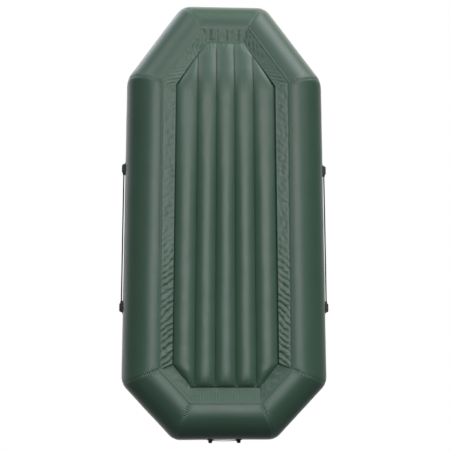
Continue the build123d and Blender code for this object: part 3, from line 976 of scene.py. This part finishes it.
def seatOn(i, along, tilt):  # on a tube's skin: x along its run, z straight out, 90 at its top
    out, up = spokes[i]
    normal = out * cos(radians(tilt)) + up * sin(radians(tilt))
    turn = Matrix((ways[i], normal.cross(ways[i]), normal)).transposed()
    return Matrix.Translation(corners[i] + ways[i] * along + normal * hull["radius"]) @ turn.to_4x4()


patch = {"squareness": 0.26, "edgeFrom": 0.9, "edgeLow": 0.2, "bead": 0.0005, "beadAt": 0.82,
         "beadWidth": 0.05, "sunk": 0.0006, "along": 30, "across": 24}


def patchShape(length, width, thickness):  # rubber sheet with soft corners and a raised rim, bent to the tube
    radius = hull["radius"]

    def place(u, v):
        s, t = 2 * u - 1, 2 * v - 1
        x = length / 2 * s * sqrt(1 - patch["squareness"] * t * t)
        y = width / 2 * t * sqrt(1 - patch["squareness"] * s * s)
        edge = max(abs(s), abs(t))
        height = thickness * (1 - (1 - patch["edgeLow"]) * smoothStep(patch["edgeFrom"], 1.0, edge))
        height += patch["bead"] * bell(edge - patch["beadAt"], patch["beadWidth"])
        turn = y / radius
        return Vector((x, (radius + height) * sin(turn), (radius + height) * cos(turn) - radius))

    bm = bentGrid(patch["along"], patch["across"], place)
    rim = [e for e in bm.edges if e.is_boundary]
    made = bmesh.ops.extrude_edge_only(bm, edges=rim)["geom"]
    for vert in (v for v in made if isinstance(v, bmesh.types.BMVert)):
        spoke = Vector((0, vert.co.y, vert.co.z + radius)).normalized() * (radius - patch["sunk"])
        vert.co.y, vert.co.z = spoke.y, spoke.z - radius
    closeHoles(bm)
    return bm


def middleOf(node):
    low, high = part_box(node)
    return (Vector(low) + Vector(high)) / 2


def moved(*places):
    return Matrix.Translation(places)


ropeHolder = {"length": 0.072, "width": 0.024, "height": 0.021, "sunk": 0.006, "taper": 0.66,
              "rounding": 0.0058, "segments": 5, "margin": 0.009, "patch": 0.0018, "ropeHeight": 0.009,
              "mouthAt": 0.0325, "ribs": (-0.011, 0.0, 0.011), "rib": (0.0034, 0.01728, 0.0, 0.0217, 0.9),
              "ribRounding": 0.0007, "lipSteps": 32,
              "lip": [(0.0043, -0.004), (0.0072, -0.004), (0.0068, 0.0035), (0.0058, 0.0046),
                      (0.0043, 0.004)]}


def makeRopeHolder(side, end):
    look = ropeHolder
    run = tubeNodes.index(f"tube_{side}")
    node = f"rope_holder_{side}_{end}"
    along = (middleOf(node).y - corners[run].y) / ways[run].y
    facing = (1 if end == "bow" else -1) * (1 if side == "port" else -1)
    whole = bmesh.new()
    size = (look["length"], look["width"], -look["sunk"], look["height"], look["taper"])
    addBlock(whole, size, look["rounding"], segments=look["segments"])
    margin = 2 * look["margin"]
    addShape(whole, patchShape(look["length"] + margin, look["width"] + margin, look["patch"]))
    for x in look["ribs"]:
        addBlock(whole, look["rib"], look["ribRounding"], moved(x, 0, 0))
    mouth = moved(facing * look["mouthAt"], 0, look["ropeHeight"]) @ Matrix.Rotation(facing * pi / 2, 4, "Y")
    addShape(whole, turnedShape(look["lip"], look["lipSteps"]), mouth)
    finishFitting(f"ropeHolder_{side}_{end}", whole, "black_rubber", seatOn(run, along, 0), stands=node)


for side in ("port", "starboard"):
    for end in ("bow", "stern"):
        makeRopeHolder(side, end)

carryHandle = {"length": 0.068, "width": 0.024, "height": 0.018, "sunk": 0.006, "taper": 0.72,
               "rounding": 0.005, "segments": 5, "margin": 0.009, "patch": 0.0018,
               "frame": (0.003, 0.031, 0.0, 0.0075, 0.9), "frameRounding": 0.0008, "frameLift": 0.001,
               "strapWidth": 0.025, "strapReach": 0.079, "strapLift": 0.0035, "slack": 0.0035,
               "strapThickness": 0.0017, "strapGrid": (60, 16), "hem": 0.0003, "hemAt": 0.86,
               "hemWidth": 0.09, "crumple": (0.0004, 40.0), "stitch": (0.0024, 0.0008, 0.0, 0.0006, 0.8),
               "stitchRounding": 0.0002, "stitchRows": (-0.0095, -0.003, 0.003, 0.0095),
               "stitchFrom": 0.053, "stitchStep": 0.0034, "stitchCount": 5}
sternRun = tubeNodes.index("tube_stern")


def seatAcrossStern(x):
    return seatOn(sternRun, (x - corners[sternRun].x) / ways[sternRun].x, 0)


def makeAnchor(side):
    look = carryHandle
    node = f"handle_anchor_{side}"
    whole = bmesh.new()
    size = (look["length"], look["width"], -look["sunk"], look["height"], look["taper"])
    upright = Matrix.Rotation(pi / 2, 4, "Z")
    addBlock(whole, size, look["rounding"], upright, look["segments"])
    margin = 2 * look["margin"]
    addShape(whole, patchShape(look["width"] + margin, look["length"] + margin, look["patch"]))
    inward = 1 if side == "port" else -1
    edge = moved(inward * look["width"] / 2, 0, look["frameLift"])
    addBlock(whole, look["frame"], look["frameRounding"], edge)
    finishFitting(f"handleAnchor_{side}", whole, "black_rubber", seatAcrossStern(middleOf(node).x),
                  stands=node)


def strapPoint(x, y, lift=0.0):  # on the strap, which follows the tube across its width
    look = carryHandle
    radius = hull["radius"] + look["strapLift"] + lift
    radius += look["slack"] * (1 - (x / look["strapReach"]) ** 2)
    turn = y / hull["radius"]
    return Vector((x, radius * sin(turn), radius * cos(turn) - hull["radius"]))


def makeStrap():
    look = carryHandle

    def place(u, v):
        x, y = (2 * u - 1) * look["strapReach"], (v - 0.5) * look["strapWidth"]
        hem = look["hem"] * bell(abs(2 * v - 1) - look["hemAt"], look["hemWidth"])
        return strapPoint(x, y, hem + ruffle((x, y, 0), *look["crumple"]))

    seat = seatAcrossStern(0)
    band = bentGrid(*look["strapGrid"], place)
    thicken(finishFitting("handleStrap", band, "webbing", seat, stands="handle_strap"),
            look["strapThickness"])
    whole = bmesh.new()
    starts = [sign * (look["stitchFrom"] + k * look["stitchStep"])
              for sign in (-1, 1) for k in range(look["stitchCount"])]
    for x in starts:
        for y in look["stitchRows"]:
            turn = Matrix.Rotation(-y / hull["radius"], 4, "X")
            spot = strapPoint(x, y, look["strapThickness"] / 2)
            addBlock(whole, look["stitch"], look["stitchRounding"], Matrix.Translation(spot) @ turn)
    finishFitting("handleStitches", whole, "rope", seat)


for side in ("port", "starboard"):
    makeAnchor(side)
makeStrap()
print("rope holders and stern handle made")

# outlines are lists of radius and height, from the axis or closed on themselves
oarlock = {"pad": (0.110, 0.084, 0.003), "bossRounding": 0.0007, "sharpFrom": 30.0, "steps": 64,
           "boss": [(0, 0.004), (0.00705, 0.004), (0.00705, 0.028), (0.0145, 0.028), (0.0168, 0.0255),
                    (0.0170, 0.012), (0.0190, 0.006), (0.026, 0.0032), (0.026, -0.002), (0, -0.002)],
           "gusset": (0.024, 0.0042, -0.006, 0.022), "gussetDrop": 0.020, "gussetAt": 0.024, "gussets": 6,
           "gussetRounding": 0.0009, "ringHeight": 0.0553, "ringRounding": 0.0010, "ringSteps": 96,
           "ring": [(0.0175, -0.013), (0.0245, -0.013), (0.0245, -0.008), (0.0223, -0.005),
                    (0.0223, 0.005), (0.0245, 0.008), (0.0245, 0.013), (0.0175, 0.013)],
           "pin": [(0, 0.0043), (0.007, 0.0043), (0.007, 0.0283), (0.012, 0.0283), (0.012, 0.0333),
                   (0.0105, 0.0343), (0.0092, 0.0372), (0, 0.0372)], "pinRounding": 0.0006,
           "brace": (0.006, 0.009, 0.0303, 0.0415), "braceAt": 0.0095, "braceRounding": 0.001}


def makeOarlock(side):
    look = oarlock
    run = tubeNodes.index(f"tube_{side}")
    node = f"oarlock_swivel_{side}"
    seat = seatOn(run, (middleOf(node).y - corners[run].y) / ways[run].y, 90)
    whole = bmesh.new()
    addShape(whole, patchShape(*look["pad"]))
    boss = turnedShape(look["boss"], look["steps"], closed=False)
    softenEdges(boss, look["bossRounding"], 2, look["sharpFrom"])
    addShape(whole, boss)
    for k in range(look["gussets"]):
        gusset = blockShape(*look["gusset"])
        outer = [v for v in gusset.verts if v.co.x > 0 and v.co.z > 0]
        bmesh.ops.translate(gusset, vec=(0, 0, -look["gussetDrop"]), verts=outer)
        softenEdges(gusset, look["gussetRounding"], 2, look["sharpFrom"])
        turn = Matrix.Rotation(2 * pi * k / look["gussets"], 4, "Z")
        addShape(whole, gusset, turn @ moved(look["gussetAt"], 0, 0))
    finishFitting(f"oarlockPad_{side}", whole, "black_rubber", seat, stands=f"oarlock_pad_{side}")
    whole = bmesh.new()
    ring = turnedShape(look["ring"], look["ringSteps"])
    softenEdges(ring, look["ringRounding"], 3, look["sharpFrom"])
    addShape(whole, ring, moved(0, 0, look["ringHeight"]) @ Matrix.Rotation(pi / 2, 4, "X"))
    pin = turnedShape(look["pin"], look["steps"], closed=False)
    softenEdges(pin, look["pinRounding"], 2, look["sharpFrom"])
    addShape(whole, pin)
    for sign in (-1, 1):
        addBlock(whole, look["brace"], look["braceRounding"], moved(sign * look["braceAt"], 0, 0))
    finishFitting(f"oarlockSwivel_{side}", whole, "black_plastic", seat, f"oarlock_{side}", node)


for side in ("port", "starboard"):
    makeOarlock(side)
print("oarlocks made")

valve = {
    "neck": 0.015, "threads": (0.0094, 0.0070, 0.0046), "threadHeight": 0.0003, "threadHalf": 0.0008,
    "mouth": [(0.012, -0.017), (0.012, 0.012), (0.0138, 0.012), (0.015, 0.0108)],
    "flange": [(0.015, 0.0034), (0.0162, 0.0028), (0.0205, 0.0028), (0.0210, 0.0022), (0.0225, 0.0022),
               (0.0230, 0.0028), (0.0248, 0.0028), (0.026, 0.0016), (0.026, -0.0030), (0.0153, -0.0030),
               (0.015, -0.020), (0.0085, -0.020), (0.0085, -0.017)],
    "baseSteps": 96, "softening": 0.0002, "sharpFrom": 40.0, "guideSteps": 40,
    "guide": [(0.0026, -0.015), (0.0046, -0.015), (0.0046, -0.012), (0.0026, -0.012)],
    "spokes": 4, "spoke": (0.0082, 0.0018, -0.015, -0.012), "spokeAt": 0.0083,
    "plunger": [(0, -0.0233), (0.011, -0.0233), (0.011, -0.0213), (0.0096, -0.0203), (0.0025, -0.0203),
                (0.0025, -0.002), (0.005, -0.002), (0.005, -0.0002), (0.0044, 0.0005), (0, 0.0005)],
    "plungerSteps": 48, "plungerProud": 0.0005, "foot": -0.012, "springKeep": 0.585,
    "spring": {"coil": 0.004, "wire": 0.0005, "low": -0.0112, "height": 0.0084, "turns": 4,
               "steps": 28, "sides": 10},
    "cap": [(0, 0.0125), (0.0155, 0.0125), (0.0155, 0.0031), (0.018, 0.0031), (0.018, 0.0045),
            (0.0176, 0.0051), (0.0176, 0.0139), (0.0164, 0.0155), (0.0115, 0.0155), (0.0108, 0.0147),
            (0, 0.0147)],
    "knurls": 24, "knurlDepth": 0.0007, "knurlFrom": (0.0174, 0.0047), "capRounding": 0.0003,
    "capSharpFrom": 50.0, "grip": (0.026, 0.005, 0.0145, 0.0205, 0.94), "gripRounding": 0.0012,
}


def valveBase():
    look = valve
    neck, ridges = look["neck"], []
    for z in look["threads"]:
        ridges += [(neck, z + look["threadHalf"]), (neck + look["threadHeight"], z),
                   (neck, z - look["threadHalf"])]
    whole = turnedShape([*look["mouth"], *ridges, *look["flange"]], look["baseSteps"])
    softenEdges(whole, look["softening"], 1, look["sharpFrom"])
    addShape(whole, turnedShape(look["guide"], look["guideSteps"]))
    for k in range(look["spokes"]):
        turn = Matrix.Rotation(2 * pi * k / look["spokes"], 4, "Z")
        addShape(whole, blockShape(*look["spoke"]), turn @ moved(look["spokeAt"], 0, 0))
    return whole


def valvePlunger():
    bm = turnedShape(valve["plunger"], valve["plungerSteps"], closed=False)
    softenEdges(bm, valve["softening"], 1, valve["sharpFrom"])
    return bm


def valveCap():
    look = valve
    bm = turnedShape(look["cap"], 4 * look["knurls"], closed=False)
    bmesh.ops.remove_doubles(bm, verts=bm.verts, dist=touching)
    widest, lowest = look["knurlFrom"]
    for vert in bm.verts:
        reach = Vector((vert.co.x, vert.co.y)).length
        if reach > widest and vert.co.z > lowest:
            wave = 0.5 + 0.5 * cos(look["knurls"] * atan2(vert.co.y, vert.co.x))
            shrink = 1 - look["knurlDepth"] * wave / reach
            vert.co.x *= shrink
            vert.co.y *= shrink
    softenEdges(bm, look["capRounding"], 2, look["capSharpFrom"])
    addBlock(bm, look["grip"], look["gripRounding"], segments=3)
    return bm


def valveSpring():  # a coiled wire with closed ends
    look = valve["spring"]
    bm = bmesh.new()
    turn = moved(look["coil"], 0, look["low"]) @ Matrix.Rotation(pi / 2, 4, "X")
    bmesh.ops.create_circle(bm, segments=look["sides"], radius=look["wire"], matrix=turn)
    steps = look["turns"] * look["steps"]
    bmesh.ops.spin(bm, geom=[*bm.verts, *bm.edges], cent=(0, 0, 0), axis=(0, 0, 1),
                   dvec=(0, 0, look["height"] / steps), angle=2 * pi * look["turns"], steps=steps)
    closeHoles(bm)
    return bm


def makeValve(name):
    seat = Matrix.Translation(valveTop(name) - Vector((0, 0, valve["plungerProud"])))
    finishFitting(f"valveBase_{name}", valveBase(), "grey_plastic", seat, stands=f"valve_{name}_base")
    finishFitting(f"valvePlunger_{name}", valvePlunger(), "black_plastic", seat, f"plunger_{name}",
                  f"valve_{name}_plunger")
    spring = finishFitting(f"valveSpring_{name}", valveSpring(), "steel", seat,
                           stands=f"valve_{name}_spring")
    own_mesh(spring)
    finishFitting(f"valveCap_{name}", valveCap(), "grey_plastic", seat, f"cap_{name}", f"valve_{name}_cap")


for name in ("port", "starboard", "floor"):
    makeValve(name)
print("valves made")

towRing = {"wire": 0.0025, "halfWidth": 0.0225, "reach": 0.035, "bend": 0.0075, "roundHandle": 0.5523,
           "restAngle": 12.0, "pivotHeight": 0.009, "steps": 12, "ringSteps": 6,
           "patch": (0.090, 0.056, 0.0018), "saddle": (0.026, 0.016, -0.001, 0.0145, 0.92),
           "saddleRounding": 0.0036, "foot": (0.040, 0.028, -0.001, 0.0036, 0.92), "footRounding": 0.0016}
bowTop = Vector((0, corners[6].y, corners[6].z + hull["radius"]))


def makeTowPatch():
    look = towRing
    whole = patchShape(*look["patch"])
    addBlock(whole, look["saddle"], look["saddleRounding"], segments=4)
    addBlock(whole, look["foot"], look["footRounding"], segments=3)
    finishFitting("towPatch", whole, "black_rubber", Matrix.Translation(bowTop), stands="tow_patch")


def makeTowRing():  # a rounded wire rectangle through its saddle, lying back on the tube
    look = towRing
    curve = newCurve("towRing", look["wire"], look["steps"], look["ringSteps"])
    spline = curve.splines.new("BEZIER")
    spline.use_cyclic_u = True
    half, reach, bend = look["halfWidth"], look["reach"], look["bend"]
    lean = Matrix.Rotation(radians(-look["restAngle"]), 4, "X")
    place = Matrix.Translation(bowTop + Vector((0, 0, look["pivotHeight"]))) @ lean
    cornersAt = [(half, 0, (-1, 0), (0, 1)), (half, reach, (0, -1), (-1, 0)),
                 (-half, reach, (1, 0), (0, -1)), (-half, 0, (0, 1), (1, 0))]
    spline.bezier_points.add(2 * len(cornersAt) - 1)
    for k, (x, y, back, ahead) in enumerate(cornersAt):
        for step, side in enumerate((back, ahead)):
            point = spline.bezier_points[2 * k + step]
            spot = Vector((x + side[0] * bend, y + side[1] * bend, 0))
            hold = Vector((side[0], side[1], 0)) * bend * look["roundHandle"] * (1 if step == 0 else -1)
            point.handle_left_type = point.handle_right_type = "FREE"
            point.co = place @ spot
            point.handle_left = place @ (spot + hold)
            point.handle_right = place @ (spot - hold)
    ring = linkPiece("towRing", curve, "steel", "tow_ring")
    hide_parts("tow_ring")


makeTowPatch()
makeTowRing()
print("towing ring made")

lights = [  # name, where it shines from, spread, and strength as a colour
    ("atCamera", (0.0, 0.0, -1.0), 0.15, (2.4, 2.5, 2.5)),
    ("besideCamera", (0.12, -0.21, -0.97), 0.15, (3.2, 3.1, 2.9)),
    ("portOfCamera", (0.24, 0.0, -0.97), 0.15, (0.8, 1.0, 1.3)),
    ("starboardOfCamera", (-0.12, -0.21, -0.97), 0.15, (0.7, 0.9, 0.9)),
    ("aheadOfCamera", (0.05, -0.42, -0.91), 0.15, (0.8, 0.85, 0.85)),
    ("portLow", (0.54, -0.39, -0.74), 0.17, (1.3, 1.35, 1.1)),
    ("bowStarboardLow", (-0.43, -0.75, -0.50), 0.19, (3.3, 2.9, 3.3)),
    ("bowLow", (0.0, -0.87, -0.50), 0.19, (0.4, 0.55, 0.6)),
    ("bowPortLow", (0.43, -0.75, -0.50), 0.19, (3.8, 3.7, 4.0)),
    ("bowLevel", (0.0, -0.98, -0.17), 0.19, (0.7, 1.1, 0.5)),
    ("bowPortLevel", (0.49, -0.85, -0.17), 0.19, (3.7, 3.7, 4.0)),
    ("aboveBowStarboard", (-0.39, -0.68, 0.62), 0.29, (2.0, 2.1, 2.3)),
    ("aboveBowPort", (0.39, -0.68, 0.62), 0.29, (1.3, 1.35, 1.2)),
    ("aboveStarboard", (-0.79, 0.0, 0.62), 0.29, (0.8, 0.76, 0.8)),
    ("abovePort", (0.79, 0.0, 0.62), 0.29, (0.25, 0.25, 0.25)),
    ("aboveSternStarboard", (-0.39, 0.68, 0.62), 0.29, (0.15, 0.15, 0.15)),
    ("aboveSternPort", (0.39, 0.68, 0.62), 0.29, (0.1, 0.11, 0.11)),
    ("overhead", (0.0, 0.0, 1.0), 0.40, (1.2, 1.2, 1.2)),
]
fillLight = (0.015, 0.015, 0.015)
usualSharpness = 25.0


def softLightGroup():  # a far soft light, brightest along its aim
    tree, inn, out = newGroup(
        "softLight",
        [("Ray", "NodeSocketVector", (0, 0, 1)), ("Aim", "NodeSocketVector", (0, 0, -1)),
         ("Sharpness", "NodeSocketFloat", usualSharpness), ("Color", "NodeSocketColor", (1, 1, 1, 1))],
        [("Color", "NodeSocketColor")])
    dot = addNode(tree, "ShaderNodeVectorMath", {0: inn["Ray"], 1: inn["Aim"]}, operation="DOT_PRODUCT")
    away = mathNode(tree, "SUBTRACT", dot.outputs["Value"], 1.0)
    amount = mathNode(tree, "EXPONENT", mathNode(tree, "MULTIPLY", away, inn["Sharpness"]))
    scale = addNode(tree, "ShaderNodeVectorMath", {0: inn["Color"], "Scale": amount}, operation="SCALE")
    feed(tree, out["Color"], scale.outputs["Vector"])
    return tree


def makeWorld():  # the lights shine on the boat, and the camera itself sees plain white
    world = bpy.data.worlds.new("studio")
    bpy.context.scene.world = world
    world.use_nodes = True
    tree = world.node_tree
    tree.nodes.clear()
    ray = addNode(tree, "ShaderNodeTexCoord").outputs["Generated"]
    lightTree = softLightGroup()
    total = addNode(tree, "ShaderNodeRGB").outputs["Color"]
    total.default_value = (*fillLight, 1)
    for name, aim, spread, color in lights:
        lobe = addNode(tree, "ShaderNodeGroup", node_tree=lightTree, label=name)
        feed(tree, lobe.inputs["Ray"], ray)
        feed(tree, lobe.inputs["Aim"], Vector(aim).normalized())
        feed(tree, lobe.inputs["Sharpness"], 1 / spread ** 2)
        feed(tree, lobe.inputs["Color"], (*color, 1))
        total = addNode(tree, "ShaderNodeVectorMath", {0: total, 1: lobe.outputs["Color"]},
                        operation="ADD").outputs["Vector"]
    glow = addNode(tree, "ShaderNodeBackground", {"Color": total}).outputs["Background"]
    plain = addNode(tree, "ShaderNodeBackground", {"Color": (1, 1, 1, 1)}).outputs["Background"]
    seen = addNode(tree, "ShaderNodeLightPath").outputs["Is Camera Ray"]
    choose = addNode(tree, "ShaderNodeMixShader", {"Fac": seen, 1: glow, 2: plain})
    addNode(tree, "ShaderNodeOutputWorld", {"Surface": choose.outputs["Shader"]})


ground = {"size": 14.0, "color": (0.86, 0.86, 0.86)}


def makeGround():  # pale from above, and clear from below so that the hull's underside shows
    material = bpy.data.materials.new("paleGround")
    material.use_nodes = True
    tree = material.node_tree
    tree.nodes.clear()
    pale = addNode(tree, "ShaderNodeBsdfDiffuse", {"Color": (*ground["color"], 1)}).outputs["BSDF"]
    clear = addNode(tree, "ShaderNodeBsdfTransparent").outputs["BSDF"]
    back = addNode(tree, "ShaderNodeNewGeometry").outputs["Backfacing"]
    seen = addNode(tree, "ShaderNodeLightPath").outputs["Is Camera Ray"]
    front = mathNode(tree, "MULTIPLY", seen, mathNode(tree, "SUBTRACT", 1.0, back))
    choose = addNode(tree, "ShaderNodeMixShader", {"Fac": front, 1: clear, 2: pale})
    addNode(tree, "ShaderNodeOutputMaterial", {"Surface": choose.outputs["Shader"]})
    bm = bmesh.new()
    bmesh.ops.create_grid(bm, x_segments=1, y_segments=1, size=ground["size"] / 2)
    mesh = bpy.data.meshes.new("ground")
    bm.to_mesh(mesh)
    bm.free()
    mesh.materials.append(material)
    floor = bpy.data.objects.new("ground", mesh)
    bpy.context.scene.collection.objects.link(floor)


makeWorld()
makeGround()
bpy.context.scene.view_settings.view_transform = "Standard"
print("light and ground set")
